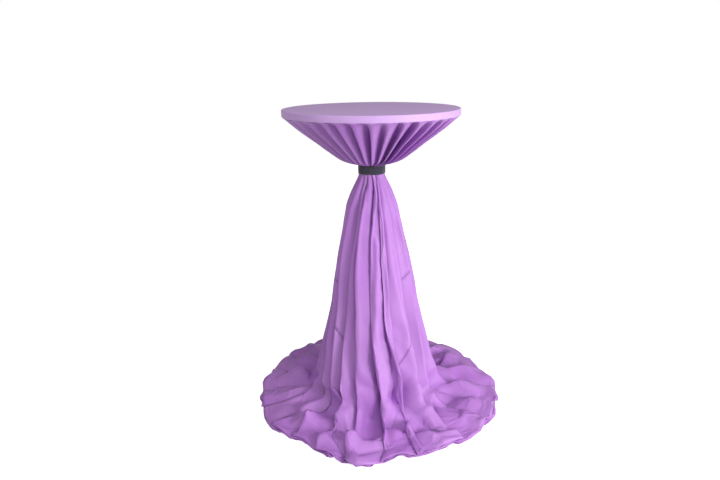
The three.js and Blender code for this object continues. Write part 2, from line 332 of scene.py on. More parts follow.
# ---------------------------------------------------------------- finishes
@dataclass(frozen=True)
class SatinCloth:
    """A fine satin-weave cloth with faint storage creases, and crinkles where it lies on the floor.

    Attributes:
        colour: The dyed colour.
        deep: The colour where the dye lies heavier.
        sheen_over_board: The colour where the cloth is stretched over the white board.
        thread: The distance between threads.
        width: The cloth's flat width, which its UV map spans.
        fold: The distance between the storage creases.
        board: The flat radius of the part over the board.
        seam: How far the seams lie from the middle.
    """

    colour: Colour = linear(187, 133, 209)
    deep: Colour = linear(178, 119, 203)
    sheen_over_board: Colour = linear(201, 163, 221)
    thread: float = 0.0007
    width: float = 3.6
    fold: float = 0.45
    board: float = 0.3225
    seam: float = 0.9

    def material(self, name: str) -> bpy.types.Material:
        """Makes the material."""
        shader = Shader(name)
        spread = shader.node("TexCoord", {}).outputs["UV"]
        half = self.width / 2
        flat = shader.node("VectorMath", {0: spread, 1: (self.width,) * 3, 2: (-half, -half, 0)},
                           {"operation": "MULTIPLY_ADD"}).outputs[0]
        axes = shader.node("SeparateXYZ", {0: flat}).outputs
        turns = 2 * math.pi / self.thread
        warp = shader.calc("SINE", shader.calc("MULTIPLY", axes[0], turns))
        weft = shader.calc("SINE", shader.calc("MULTIPLY", axes[1], turns))
        weave = shader.calc("MULTIPLY", warp, weft)
        creases = shader.calc("MAXIMUM", self.crease(shader, axes[0]), self.crease(shader, axes[1]))
        reach = shader.node("VectorMath", {0: flat}, {"operation": "LENGTH"}).outputs["Value"]
        below = shader.ranged(reach, 1.0, 1.3, 0.0, 1.0)
        worn = shader.ranged(shader.noise(flat, 2.2, 1.0), 0.4, 0.6, 0.0, 1.0)
        pressed = shader.calc("MULTIPLY", shader.calc("MULTIPLY", creases, below), worn)
        mottle = shader.noise(flat, 3.0, 4.0)
        crumple = shader.noise(flat, 16.0, 5.0)
        dyed = shader.blend(shader.ranged(mottle, 0.35, 0.65, 0.0, 1.0), (*self.deep, 1), (*self.colour, 1))
        pale = tuple(min(1.0, part * 1.08) for part in self.colour)
        shown = shader.blend(shader.calc("MULTIPLY", pressed, 0.5), dyed, (*pale, 1))
        # Painted sheen: the cloth over the board, on the top and the rim, gets a paler, less saturated colour in place
        # of the sheen there.
        shown = shader.blend(shader.ranged(reach, self.board - 0.002, self.board + 0.002, 1.0, 0.0), shown,
                             (*self.sheen_over_board, 1))
        # Painted shadow: within 3 mm of each seam the colour is darkened, for the shadow in the seam's groove.
        from_seam = shader.calc("ABSOLUTE", shader.calc("SUBTRACT", shader.calc("ABSOLUTE", axes[0]), self.seam))
        seam_shadow = shader.ranged(from_seam, 0.0, 0.003, 1.0, 0.0)
        shadowed = tuple(part * 0.35 for part in self.deep)
        shown = shader.blend(shader.calc("MULTIPLY", seam_shadow, 0.5), shown, (*shadowed, 1))
        soft = shader.bump(crumple, 0.0035, 0.35)
        ridge = shader.calc("ABSOLUTE", shader.calc("SUBTRACT", shader.noise(flat, 6.0, 2.5), 0.5))
        crinkle = shader.calc("MULTIPLY", shader.ranged(ridge, 0.0, 0.05, 1.0, 0.0),
                              shader.ranged(reach, 1.4, 1.6, 0.0, 1.0))
        soft = shader.bump(crinkle, 0.004, 0.55, soft)
        soft = shader.bump(pressed, 0.0012, 0.5, soft)
        woven = shader.bump(weave, 0.00006, 0.25, soft)
        gloss = shader.ranged(shader.noise(flat, 40.0, 2.0), 0.3, 0.7, 0.42, 0.54)
        return shader.done(Base_Color=shown, Roughness=gloss, Normal=woven, Specular_IOR_Level=0.3,
                           Sheen_Weight=0.06, Sheen_Roughness=0.4)

    def crease(self, shader: Shader, axis: object) -> bpy.types.NodeSocket:
        """A narrow line wherever the axis passes a storage fold."""
        share = shader.calc("PINGPONG", shader.calc("ADD", axis, self.fold / 2), self.fold / 2)
        gone = shader.calc("SUBTRACT", self.fold / 2, share)
        return shader.ranged(gone, 0.0, 0.004, 1.0, 0.0)


@dataclass(frozen=True)
class Thread:
    """Twisted sewing thread.

    Attributes:
        colour: The thread's colour.
        twist: The distance between the turns of the twist.
    """

    colour: Colour
    twist: float = 0.0004

    def material(self, name: str) -> bpy.types.Material:
        """Makes the material."""
        shader = Shader(name)
        place = shader.object_place()
        wave = shader.node("TexWave", {"Vector": place, "Scale": 1 / self.twist, "Distortion": 1.0},
                           {"bands_direction": "DIAGONAL"}).outputs[1]
        # Painted shade: the thread is darker where the twist's bump is low, for the shade in the grooves between its
        # turns.
        groove_shade = tuple(part * 0.75 for part in self.colour)
        shown = shader.blend(wave, (*groove_shade, 1), (*self.colour, 1))
        return shader.done(Base_Color=shown, Roughness=0.6, Normal=shader.bump(wave, 0.0001, 0.4),
                           Sheen_Weight=0.3)


@dataclass(frozen=True)
class NappedStrap:
    """Brushed nylon strap with a napped face.

    Attributes:
        colour: The strap's colour.
        worn: The colour of the ends of the nap.
        rib: The distance between the ribs of the woven ground.
    """

    colour: Colour = linear(46, 45, 58)
    worn: Colour = linear(84, 82, 98)
    rib: float = 0.0012

    def material(self, name: str) -> bpy.types.Material:
        """Makes the material."""
        shader = Shader(name)
        place = shader.object_place()
        height = shader.node("SeparateXYZ", {0: place}).outputs[2]
        ribs = shader.calc("SINE", shader.calc("MULTIPLY", height, 2 * math.pi / self.rib))
        fuzz = shader.noise(place, 900.0, 3.0)
        patches = shader.noise(place, 90.0, 3.0)
        share = shader.calc("MULTIPLY", shader.ranged(fuzz, 0.45, 0.75, 0.0, 1.0),
                            shader.ranged(patches, 0.3, 0.7, 0.3, 1.0))
        shown = shader.blend(share, (*self.colour, 1), (*self.worn, 1))
        rough = shader.bump(fuzz, 0.0004, 0.6, shader.bump(ribs, 0.0001, 0.3))
        return shader.done(Base_Color=shown, Roughness=0.92, Normal=rough, Sheen_Weight=0.6,
                           Sheen_Roughness=0.5, Specular_IOR_Level=0.2)


@dataclass(frozen=True)
class Laminate:
    """White melamine board with a fine pressed texture.

    Attributes:
        colour: The board's colour.
        fleck: The colour of its flecks.
    """

    colour: Colour = linear(232, 229, 222)
    fleck: Colour = linear(196, 189, 176)

    def material(self, name: str) -> bpy.types.Material:
        """Makes the material."""
        shader = Shader(name)
        place = shader.object_place()
        grain = shader.noise(place, 260.0, 4.0)
        cloudy = shader.noise(place, 12.0, 2.0)
        flecks = shader.ranged(grain, 0.56, 0.66, 0.0, 0.6)
        shown = shader.blend(flecks, (*self.colour, 1), (*self.fleck, 1))
        gloss = shader.ranged(cloudy, 0.3, 0.7, 0.38, 0.52)
        return shader.done(Base_Color=shown, Roughness=gloss, Normal=shader.bump(grain, 0.0002, 0.25))


@dataclass(frozen=True)
class MouldedPlastic:
    """Black moulded plastic with a spark-eroded grain.

    Attributes:
        colour: The plastic's colour.
        rubbed: The colour where it is scuffed.
    """

    colour: Colour = linear(30, 30, 32)
    rubbed: Colour = linear(70, 70, 72)

    def material(self, name: str) -> bpy.types.Material:
        """Makes the material."""
        shader = Shader(name)
        place = shader.object_place()
        grain = shader.noise(place, 1400.0, 2.0)
        scuffs = shader.ranged(shader.noise(place, 60.0, 6.0), 0.58, 0.72, 0.0, 0.5)
        shown = shader.blend(scuffs, (*self.colour, 1), (*self.rubbed, 1))
        gloss = shader.ranged(grain, 0.3, 0.7, 0.5, 0.66)
        return shader.done(Base_Color=shown, Roughness=gloss, Normal=shader.bump(grain, 0.0001, 0.3))


@dataclass(frozen=True)
class BrushedSteel:
    """Zinc-plated or brushed steel.

    Attributes:
        colour: The metal's colour.
        dull: The colour of its tarnish.
    """

    colour: Colour = linear(188, 190, 192)
    dull: Colour = linear(140, 138, 132)

    def material(self, name: str) -> bpy.types.Material:
        """Makes the material."""
        shader = Shader(name)
        place = shader.object_place()
        drawn = shader.node("Mapping", {0: place, 3: (900.0, 900.0, 12.0)}).outputs[0]
        brush = shader.noise(drawn, 1.0, 4.0)
        tarnish = shader.ranged(shader.noise(place, 24.0, 4.0), 0.5, 0.75, 0.0, 0.6)
        shown = shader.blend(tarnish, (*self.colour, 1), (*self.dull, 1))
        gloss = shader.ranged(brush, 0.3, 0.7, 0.26, 0.42)
        return shader.done(Base_Color=shown, Metallic=1.0, Roughness=gloss, Normal=shader.bump(brush, 0.00005, 0.3))


@dataclass(frozen=True)
class PowderCoat:
    """Powder-coated steel with a slight orange peel.

    Attributes:
        colour: The coat's colour.
        dust: The colour of settled dust.
    """

    colour: Colour = linear(78, 80, 84)
    dust: Colour = linear(120, 118, 114)

    def material(self, name: str) -> bpy.types.Material:
        """Makes the material."""
        shader = Shader(name)
        place = shader.object_place()
        peel = shader.noise(place, 420.0, 2.0)
        dusty = shader.ranged(shader.noise(place, 18.0, 5.0), 0.5, 0.8, 0.0, 0.5)
        shown = shader.blend(dusty, (*self.colour, 1), (*self.dust, 1))
        return shader.done(Base_Color=shown, Metallic=0.3, Roughness=0.5, Normal=shader.bump(peel, 0.0001, 0.35))


class Finish(Enum):
    """The finishes of the rigid pieces."""

    BOARD = Laminate()
    PLASTIC = MouldedPlastic()
    STEEL = BrushedSteel()
    PAINT = PowderCoat()
    STRAP = NappedStrap()


# ---------------------------------------------------------------- cloth
@dataclass
class FlatCut:
    """How the cloth is cut and sewn, while it lies flat.

    Attributes:
        radius: The radius of the round cut.
        seam: How far the two straight seams lie from the middle.
        seam_gap: The groove between two panels along a seam.
        thickness: The thickness of the cloth.
        hem: The width of the turned hem.
    """

    radius: float = 1.8
    seam: float = 0.9
    seam_gap: float = 0.0018
    thickness: float = 0.0006
    hem: float = 0.015

    def segment(self) -> float:
        """The flat area of one side panel."""
        angle = 2 * math.acos(self.seam / self.radius)
        return self.radius**2 / 2 * (angle - math.sin(angle))

    def chord(self) -> float:
        """The length of a seam."""
        return 2 * math.sqrt(self.radius**2 - self.seam**2)


@dataclass
class Skirt:
    """The cloth below the strap, which hangs in deep pleats and lies in a pool on the floor.

    Its rows are circles of the flat cloth, and its columns run from the strap to the hem.

    Attributes:
        cut: The flat cloth.
        waist: The radius of the flat circle at the strap's lower edge.
        columns: How many points go round while the cloth settles.
        rows: How many circles there are while it settles.
        pleats: How many deep pleats there are.
        front: The direction of the widest pleat, in degrees.
        seed: Sets the irregularity of the pleats.
        frames: How long the cloth settles.
        lowest: The least height of the cloth before it settles.
        crumples: How many waves bend the lower part.
        crumple_span: The shortest and the longest of those waves.
        crumple_push: How far they bend it along x, y and z.
        sectors: How many directions the hem is measured in when it is fitted.
        plate_margin: How far out and up the cloth stays clear of the base plate's rim.
        plate_slope: How far out the cloth takes to come down from the base plate.
        foot: Which point of the outline meets the floor.
        outline: The radius and height of the hanging cloth, from the strap to the hem.
        depths: The flat radius and the depth of the pleats there.
        lengths: The flat radius and the cloth's length round the circle there.
        silhouette: The height and outer radius that the settled cloth has.
        reach: The direction in degrees and the distance of the hem on the floor.
    """

    cut: FlatCut
    waist: float = 0.64
    columns: int = 480
    rows: int = 60
    pleats: int = 22
    front: float = -68.0
    seed: int = 7
    frames: int = 16
    lowest: float = 0.005
    crumples: int = 14
    crumple_span: tuple = (0.075, 0.15)
    crumple_push: tuple = (0.003, 0.003, 0.0048)
    sectors: int = 36
    plate_margin: tuple = (0.008, 0.0065)
    plate_slope: float = 0.034
    foot: int = 11
    outline: tuple = (
        (0.0445, 0.88), (0.055, 0.862), (0.066, 0.83), (0.088, 0.77), (0.110, 0.69), (0.130, 0.59), (0.150, 0.48),
        (0.165, 0.40), (0.197, 0.27), (0.236, 0.13), (0.262, 0.075), (0.29, 0.05), (0.34, 0.042), (0.46, 0.034),
    )
    depths: tuple = (
        (0.64, 0.013), (0.72, 0.036), (0.80, 0.064), (1.0, 0.100), (1.2, 0.124), (1.45, 0.138), (1.57, 0.108),
        (1.64, 0.068), (1.8, 0.042),
    )
    lengths: tuple = (
        (0.64, 0.95), (0.72, 2.1), (0.8, 3.15), (1.0, 4.7), (1.2, 5.8), (1.4, 7.2), (1.56, 8.8), (1.8, 9.0),
    )
    silhouette: tuple = (
        (0.88, 0.047), (0.862, 0.056), (0.83, 0.069), (0.77, 0.090), (0.69, 0.110), (0.59, 0.131), (0.48, 0.149),
        (0.40, 0.163), (0.27, 0.198), (0.13, 0.243), (0.06, 0.285),
    )
    reach: tuple = (
        (7, 0.494), (19, 0.460), (39, 0.490), (52, 0.480), (85, 0.455), (119, 0.495), (148, 0.472), (188, 0.442),
        (200, 0.442), (213, 0.436), (232, 0.400), (246, 0.415), (261, 0.449), (280, 0.410), (302, 0.425),
        (315, 0.445), (329, 0.470), (343, 0.475),
    )

    def settled(self) -> np.ndarray:
        """Lets the pleated cloth fall and fits it to its silhouette.

        Returns:
            The grid of points, from the strap's lower edge to the hem.
        """
        start = self.pleated()
        fallen = self.fallen(start)
        return self.fitted(fallen)

    def path(self) -> tuple[np.ndarray, ...]:
        """The line that a ridge follows from the strap to the hem.

        Returns:
            The flat radius, the radius, the height and the two parts of the outward normal, row by row.
        """
        outline = np.array(self.outline)
        run = np.r_[0, np.cumsum(np.hypot(*np.diff(outline, axis=0).T))]
        drop = run[self.foot]
        foot = self.waist + drop
        flat = np.linspace(self.waist, self.cut.radius, self.rows)
        pooled = drop + (flat - foot) * (run[-1] - drop) / (self.cut.radius - foot)
        at = np.where(flat <= foot, flat - self.waist, pooled)
        radius, height = np.interp(at, run, outline[:, 0]), np.interp(at, run, outline[:, 1])
        outwards, upwards = np.gradient(radius, at), np.gradient(height, at)
        for _ in range(4):
            for part in (outwards, upwards):
                part[1:-1] = (part[:-2] + 2 * part[1:-1] + part[2:]) / 4
        size = np.hypot(outwards, upwards)
        return flat, radius, height, -upwards / size, outwards / size

    def irregular(self, angle: np.ndarray) -> tuple[np.ndarray, np.ndarray]:
        """How the pleats differ from each other.

        Args:
            angle: The direction of each column.

        Returns:
            How far each column is along the pleats' phase, and the share of the full depth it has.
        """
        random = np.random.default_rng(self.seed)
        turned = angle - math.radians(self.front)
        wander = np.zeros(self.columns)
        for waves in (1, 2, 3, 4, 5, 6, 7, 9, 11):
            size = 0.62 * random.normal() / math.sqrt(waves)
            wander += size * np.sin(waves * angle + random.uniform(0, 2 * math.pi))
        wander -= 2.0 * np.sin(turned) + 1.2 * np.sin(2 * turned) + 1.0 * np.sin(3 * turned)
        aside = np.angle(np.exp(1j * turned))
        wander -= np.interp(0, np.sort(aside), wander[np.argsort(aside)])
        depth = np.zeros(self.columns)
        for waves in (3, 5, 8, 11):
            depth += random.normal() * np.sin(waves * angle + random.uniform(0, 2 * math.pi))
        away = np.abs(np.angle(np.exp(1j * (turned + 0.3)))) / 0.18
        return self.pleats * turned + wander, 0.80 + 0.2 * np.tanh(depth) + 0.3 * np.exp(-(away**2))

    def pleated(self) -> np.ndarray:
        """The cloth in lean pleats that have the cloth's own length round each circle."""
        angle = np.arange(self.columns) * 2 * math.pi / self.columns
        flat, radius, height, outwards, upwards = self.path()
        phase, share = self.irregular(angle)
        side = -np.tanh(np.sin(angle - math.radians(self.front)) / 0.2)
        depths, lengths = (np.interp(flat, *np.transpose(table)) for table in (self.depths, self.lengths))
        grid = np.zeros((self.rows, self.columns, 3))
        for i in range(self.rows):
            depth = depths[i] * ((1 - np.cos(phase)) / 2) ** 0.9 * share
            ridge = (radius[i], height[i], outwards[i], upwards[i])
            least, most = 0.0, 9.0
            for _ in range(26):
                lean = (least + most) / 2
                grid[i] = self.ring(angle, ridge, depth, side * lean)
                length = np.linalg.norm(np.roll(grid[i], -1, axis=0) - grid[i], axis=1).sum()
                least, most = (lean, most) if length < lengths[i] else (least, lean)
        grid[..., 2] = np.maximum(grid[..., 2], self.lowest)
        return self.buckled(grid)

    def ring(self, angle: np.ndarray, ridge: tuple, depth: np.ndarray, lean: np.ndarray) -> np.ndarray:
        """One circle of the pleated cloth.

        Args:
            angle: The direction of each column.
            ridge: The radius, the height and the outward normal of the ridges.
            depth: How deep each column lies behind the ridges.
            lean: How far each column leans sideways, for each unit of depth.

        Returns:
            The circle's points.
        """
        radius, height, outwards, upwards = ridge
        out, turn = radius - depth * outwards, angle + lean * depth / max(radius, 0.05)
        return np.stack([out * np.cos(turn), out * np.sin(turn), height - depth * upwards], -1)

    def buckled(self, grid: np.ndarray) -> np.ndarray:
        """Bends the lower part without bringing its layers together, so that it has length to spare and crumples."""
        random = np.random.default_rng(self.seed + 1)
        moved = np.zeros_like(grid)
        for _ in range(self.crumples):
            wave = random.normal(size=3)
            wave *= 2 * math.pi / random.uniform(*self.crumple_span) / np.linalg.norm(wave)
            push = random.normal(size=3) * self.crumple_push
            moved += np.sin(grid @ wave + random.uniform(0, 2 * math.pi))[..., None] * push
        calm = 1 - 0.6 * eased((np.hypot(grid[..., 0], grid[..., 1]) - 0.36) / 0.08)
        low = calm * eased((0.20 - grid[..., 2]) / 0.13)
        grid = grid + low[..., None] * moved
        lift = np.minimum(grid[..., 2] - self.lowest, 0)
        grid[..., 2] -= lift
        return grid

    def fallen(self, start: np.ndarray) -> np.ndarray:
        """Lets the cloth settle on the base and the floor.

        Args:
            start: The pleated cloth.

        Returns:
            The settled cloth.
        """
        scene = bpy.context.scene
        sheet = mesh_of("settling", start.reshape(-1, 3), [], grid_faces(self.rows, self.columns, True))
        sheet.vertex_groups.new(name="held").add(list(range(self.columns)), 1.0, "REPLACE")
        ground = mesh_of("ground", [(-2, -2, 0), (2, -2, 0), (2, 2, 0), (-2, 2, 0)], [], [(0, 1, 2, 3)])
        stops = [self.core(), ground]
        for stop, friction in zip(stops, (2.0, 8.0)):
            stop.modifiers.new("stop", "COLLISION")
            stop.collision.thickness_outer = 0.004
            stop.collision.thickness_inner = 0.05
            stop.collision.cloth_friction = friction
            stop.collision.damping = 0.3
        modifier = sheet.modifiers.new("fall", "CLOTH")
        settings = {
            "quality": 5, "mass": 0.3, "tension_stiffness": 40, "compression_stiffness": 10, "shear_stiffness": 3,
            "bending_stiffness": 0.02, "tension_damping": 5, "compression_damping": 5, "shear_damping": 2,
            "bending_damping": 0.5, "air_damping": 1, "vertex_group_mass": "held",
        }
        for key, value in settings.items():
            setattr(modifier.settings, key, value)
        touching = modifier.collision_settings
        touching.collision_quality = 2
        touching.distance_min = 0.003
        touching.use_self_collision = True
        touching.self_distance_min = 0.0015
        touching.self_friction = 3
        modifier.point_cache.frame_start = 1
        modifier.point_cache.frame_end = self.frames + 2
        for frame in range(1, self.frames + 1):
            scene.frame_set(frame)
        graph = bpy.context.evaluated_depsgraph_get()
        mesh = sheet.evaluated_get(graph).to_mesh()
        points = np.zeros(len(mesh.vertices) * 3)
        mesh.vertices.foreach_get("co", points)
        for piece in (sheet, *stops):
            bpy.data.objects.remove(piece)
        scene.frame_set(1)
        return points.reshape(start.shape)

    def core(self) -> bpy.types.Object:
        """The column and the base plate as the falling cloth meets them."""
        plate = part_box("base_plate")[1]
        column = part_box("column_tube")[1].x + 0.001
        rim, top = plate.x + 0.005, plate.z + 0.005
        profile = [(rim + 0.005, -0.02), (rim, 0), (rim, top - 0.008), (rim - 0.005, top), (column + 0.02, top + 0.002),
                   (column, top + 0.012), (column, 0.95), (0.001, 0.95)]
        angle = np.arange(96) * 2 * math.pi / 96
        rows = [np.stack([r * np.cos(angle), r * np.sin(angle), np.full(96, z)], -1) for r, z in profile[::-1]]
        return mesh_of("core", np.concatenate(rows), [], grid_faces(len(rows), 96, True))

    def fitted(self, grid: np.ndarray) -> np.ndarray:
        """Fits the settled cloth to its silhouette and its outline on the floor, and keeps it off the base plate."""
        radius = np.hypot(grid[..., 0], grid[..., 1])
        height = grid[..., 2]
        knots = np.array(self.silhouette)[::-1]
        ratios = []
        for level, wanted in knots:
            near = radius[np.abs(height - level) < 0.02]
            ratios.append(float(np.clip(wanted / np.percentile(near, 97), 0.8, 1.4)) if len(near) else 1.0)
        ratios[-1] = 1.0
        upright = np.interp(height, knots[:, 0], ratios)
        angle = np.angle(grid[..., 0] + 1j * grid[..., 1])
        bins = np.floor((angle / (2 * math.pi) % 1) * self.sectors).astype(int) % self.sectors
        edge = np.array([np.percentile(radius[bins == k], 99.5) for k in range(self.sectors)])
        edge = (np.roll(edge, 1) + 2 * edge + np.roll(edge, -1)) / 4
        reach = np.array(self.reach)
        turn = np.degrees(angle) % 360
        wanted = np.interp(turn, reach[:, 0], reach[:, 1], period=360)
        middles = (np.arange(self.sectors) + 0.5) * 360 / self.sectors
        spread = wanted / np.interp(turn, middles, edge, period=360)
        pooled = eased((radius - 0.24) / 0.16) * eased(1 - height / 0.14)
        scale = upright * (1 - pooled) + spread * pooled
        fitted = grid * np.stack([scale, scale, np.ones_like(scale)], -1)
        fitted[..., 2] = np.maximum(fitted[..., 2] - 0.003 * eased(1 - height / 0.1), 0.0018)
        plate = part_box("base_plate")[1]
        out, up = self.plate_margin
        rim = plate.x + out
        slope = np.interp(np.hypot(fitted[..., 0], fitted[..., 1]), [rim, rim + self.plate_slope], [plate.z + up, 0.0])
        fitted[..., 2] = np.maximum(fitted[..., 2], slope)
        return fitted


@dataclass
class Cloth:
    """The whole cloth over the table, in three sewn panels.

    Attributes:
        cut: The flat cloth.
        skirt: The part below the strap.
        columns: How many points go round.
        skirt_rows: How many circles the skirt has.
        swag_pleats: How many folds run from the rim to the strap.
        seed: Sets the irregularity of those folds.
        proud: How far the outside of the cloth lies from the board.
        swag: The radius and height of the swag, from the rim to the strap.
        swag_depths: How far along the swag, from 0 to 1, and the depth of its folds there.
    """

    cut: FlatCut = field(default_factory=FlatCut)
    columns: int = 540
    skirt_rows: int = 60
    swag_pleats: int = 36
    seed: int = 11
    proud: float = 0.0013
    swag: tuple = (
        (0.2990, 1.0775), (0.2490, 1.034), (0.1960, 0.994), (0.1485, 0.957), (0.1050, 0.927), (0.0600, 0.9135),
        (0.0450, 0.9103),
    )
    swag_depths: tuple = (
        (0, 0.0), (0.04, 0.010), (0.10, 0.021), (0.2, 0.030), (0.35, 0.037), (0.55, 0.038), (0.75, 0.031),
        (0.9, 0.020), (1, 0.010),
    )

    def __post_init__(self) -> None:
        """Reads the place of the board, and drapes the cloth."""
        self.skirt = Skirt(self.cut)
        self.finish = SatinCloth(width=2 * self.cut.radius, seam=self.cut.seam)
        self.material = self.finish.material("satin_cloth")
        self.thread = Thread(linear(176, 126, 200)).material("lilac_thread")
        self.board_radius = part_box("tabletop_edge_band")[1].x
        self.board_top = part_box("tabletop_edge_band")[1].z
        self.flat, self.grid = self.draped()
        self.normals = self.outward()

    def draped(self) -> tuple[np.ndarray, np.ndarray]:
        """The flat radius of each circle, and the grid of points from the middle of the top to the hem."""
        angle = np.arange(self.columns) * 2 * math.pi / self.columns
        flats, rings = [], []
        for flat, radius, height in self.top_rows():
            flats.append(flat)
            rings.append(np.stack([radius * np.cos(angle), radius * np.sin(angle), np.full(self.columns, height)], -1))
        swag_flats, swag_rings = self.swag_rows(angle)
        flats += swag_flats
        rings += swag_rings
        settled = resampled(self.skirt.settled(), self.columns, 1, True)
        settled = resampled(settled, self.skirt_rows, 0, False)
        start = flats[-1]
        for share in (0.25, 0.5, 0.75):
            flats.append(start + share * (self.skirt.waist - start))
            rings.append(swag_rings[-1] * (1 - share) + settled[0] * share)
        flats += np.linspace(self.skirt.waist, self.cut.radius, self.skirt_rows).tolist()
        return np.array(flats), np.concatenate([np.stack(rings), settled])

    def top_rows(self) -> list[tuple[float, float, float]]:
        """The flat radius, the radius and the height of each circle on the top and the rim."""
        edge, top = self.board_radius + self.proud, self.board_top + self.proud
        rows = [(radius, radius, top) for radius in (0.03, 0.07, 0.11, 0.15, 0.19, 0.23, 0.26, 0.28, 0.292)]
        rows += [(edge - 0.0016, edge - 0.0018, top), (edge - 0.0002, edge - 0.0006, top - 0.0005)]
        rows += [(edge + down, edge, top - down - 0.0006) for down in (0.0012, 0.004, 0.009, 0.014, 0.019)]
        return rows + [(edge + 0.0215, edge - 0.0003, top - 0.0222)]

    def swag_rows(self, angle: np.ndarray) -> tuple[list[float], list[np.ndarray]]:
        """The folds from the rim to the strap.

        Args:
            angle: The direction of each column.

        Returns:
            The flat radius of each circle, and its points.
        """
        random = np.random.default_rng(self.seed)
        phase = self.swag_pleats * angle
        share = np.zeros(self.columns)
        for waves in (1, 2, 3, 4, 6, 8, 10):
            phase = phase + 0.6 * random.normal() / math.sqrt(waves) * np.sin(waves * angle + random.uniform(0, 6.28))
        for waves in (3, 7, 9, 13):
            share += random.normal() * np.sin(waves * angle + random.uniform(0, 6.28))
        share = 0.82 + 0.18 * np.tanh(share)
        line = resampled(np.array(self.swag)[:, None, :], 23, 0, False)[:, 0]
        run = np.r_[0, np.cumsum(np.hypot(*np.diff(line, axis=0).T))]
        even = np.linspace(0, run[-1], 24)
        radius, height = np.interp(even, run, line[:, 0]), np.interp(even, run, line[:, 1])
        inwards, down = np.gradient(radius, even), np.gradient(height, even)
        size = np.hypot(inwards, down)
        inwards, down = inwards / size, down / size
        at = even / run[-1]
        depths = np.interp(at, *np.transpose(self.swag_depths))
        wave = ((1 - np.cos(phase)) / 2) ** 1.1
        flats, rings = [], []
        for i in range(1, len(even)):
            depth = depths[i] * wave * share
            turn = angle + 0.8 * depth / max(radius[i], 0.05)
            out, up = radius[i] + depth * down[i], height[i] - depth * inwards[i]
            rings.append(np.stack([out * np.cos(turn), out * np.sin(turn), up], -1))
            flats.append(0.3235 + at[i] * (0.61 - 0.3235))
        return flats, rings

    def outward(self) -> np.ndarray:
        """The outward normal at each point of the grid."""
        round_it = np.roll(self.grid, -1, axis=1) - np.roll(self.grid, 1, axis=1)
        down_it = np.gradient(self.grid, axis=0)
        normal = np.cross(down_it, round_it)
        return normal / np.maximum(np.linalg.norm(normal, axis=2, keepdims=True), 1e-12)

    def flat_points(self) -> np.ndarray:
        """The place of each point of the grid on the flat cloth."""
        angle = np.arange(self.columns) * 2 * math.pi / self.columns
        flat = self.flat[:, None]
        return np.stack([flat * np.cos(angle), flat * np.sin(angle), np.zeros((len(self.flat), self.columns))], -1)

    def on_cloth(self, x: np.ndarray, y: np.ndarray, inside: float) -> np.ndarray:
        """Finds places of the flat cloth on the draped one.

        Args:
            x: Across the flat cloth.
            y: Along the flat cloth.
            inside: How far to go in from the outer face.

        Returns:
            One point for each place.
        """
        row = np.interp(np.hypot(x, y), self.flat, np.arange(len(self.flat)))
        column = (np.arctan2(y, x) / (2 * math.pi) % 1) * self.columns
        low, left = np.minimum(row.astype(int), len(self.flat) - 2), np.floor(column).astype(int)
        down, across = (row - low)[:, None], (column - left)[:, None]
        left, right = left % self.columns, (left + 1) % self.columns

        def mixed(values: np.ndarray) -> np.ndarray:
            """The values at the places, from the four points round each."""
            upper = values[low, left] * (1 - across) + values[low, right] * across
            lower = values[low + 1, left] * (1 - across) + values[low + 1, right] * across
            return upper * (1 - down) + lower * down

        normal = mixed(self.normals)
        normal /= np.maximum(np.linalg.norm(normal, axis=1, keepdims=True), 1e-9)
        return mixed(self.grid) - inside * normal

    def whole(self) -> bpy.types.Object:
        """The cloth lying flat in one piece, which carries its draped places as an attribute."""
        rows = len(self.flat)
        count = rows * self.columns
        faces = grid_faces(rows, self.columns, True)
        faces += [(count, k, (k + 1) % self.columns) for k in range(self.columns)]
        middle = np.array([[0.0, 0.0, self.grid[0, 0, 2]]])
        sheet = mesh_of("flat_cloth", np.r_[self.flat_points().reshape(-1, 3), [[0, 0, 0]]], [], faces)
        places = sheet.data.attributes.new("place", "FLOAT_VECTOR", "POINT")
        places.data.foreach_set("vector", np.r_[self.grid.reshape(-1, 3), middle].ravel())
        return sheet

    def panel(self, sheet: bpy.types.Object, name: str, low: float, high: float) -> bpy.types.Object:
        """Cuts one panel out of the flat cloth and drapes it.

        Args:
            sheet: The flat cloth.
            name: The panel's name.
            low: The lowest x of the panel on the flat cloth.
            high: The highest x of the panel on the flat cloth.

        Returns:
            The draped panel.
        """
        work = bmesh.new()
        work.from_mesh(sheet.data)
        for edge, keeps_above in ((low, True), (high, False)):
            if abs(edge) < self.cut.radius:
                bmesh.ops.bisect_plane(work, geom=work.verts[:] + work.edges[:] + work.faces[:], dist=1e-6,
                                       plane_co=(edge, 0, 0), plane_no=(1, 0, 0), clear_inner=keeps_above,
                                       clear_outer=not keeps_above)
        spread = work.loops.layers.uv.new("flat")
        place = work.verts.layers.float_vector["place"]
        width = 2 * self.cut.radius
        for face in work.faces:
            for loop in face.loops:
                loop[spread].uv = (loop.vert.co.x / width + 0.5, loop.vert.co.y / width + 0.5)
        for vert in work.verts:
            vert.co = vert[place]
        work.verts.layers.float_vector.remove(place)
        mesh = bpy.data.meshes.new(name)
        work.to_mesh(mesh)
        work.free()
        mesh.materials.append(self.material)
        return thickened(linked(name, mesh), self.cut.thickness)

    def ribbon(self, name: str, first: tuple, second: tuple, closed: bool, inside: float) -> bpy.types.Object:
        """A narrow strip of cloth that lies on the inner face.

        Args:
            name: The strip's name.
            first: The x and y of one edge on the flat cloth.
            second: The x and y of the other edge.
            closed: Whether the strip's ends meet.
            inside: How far it lies from the outer face.

        Returns:
            The strip.
        """
        middle = tuple((a + b) / 2 for a, b in zip(first, second))
        lines = [self.on_cloth(*edge, inside) for edge in (first, middle, second)]
        for line in lines:
            line[:, 2] = np.maximum(line[:, 2], 0.0007)
        strip = mesh_of(name, np.concatenate(lines), [], grid_faces(3, len(lines[0]), closed))
        width = 2 * self.cut.radius
        flat = np.concatenate([np.stack(edge, -1) for edge in (first, middle, second)]) / width + 0.5
        spread = strip.data.uv_layers.new(name="flat")
        for loop in strip.data.loops:
            spread.data[loop.index].uv = flat[loop.vertex_index]
        strip.data.materials.append(self.material)
        return thickened(strip, 0.0004)

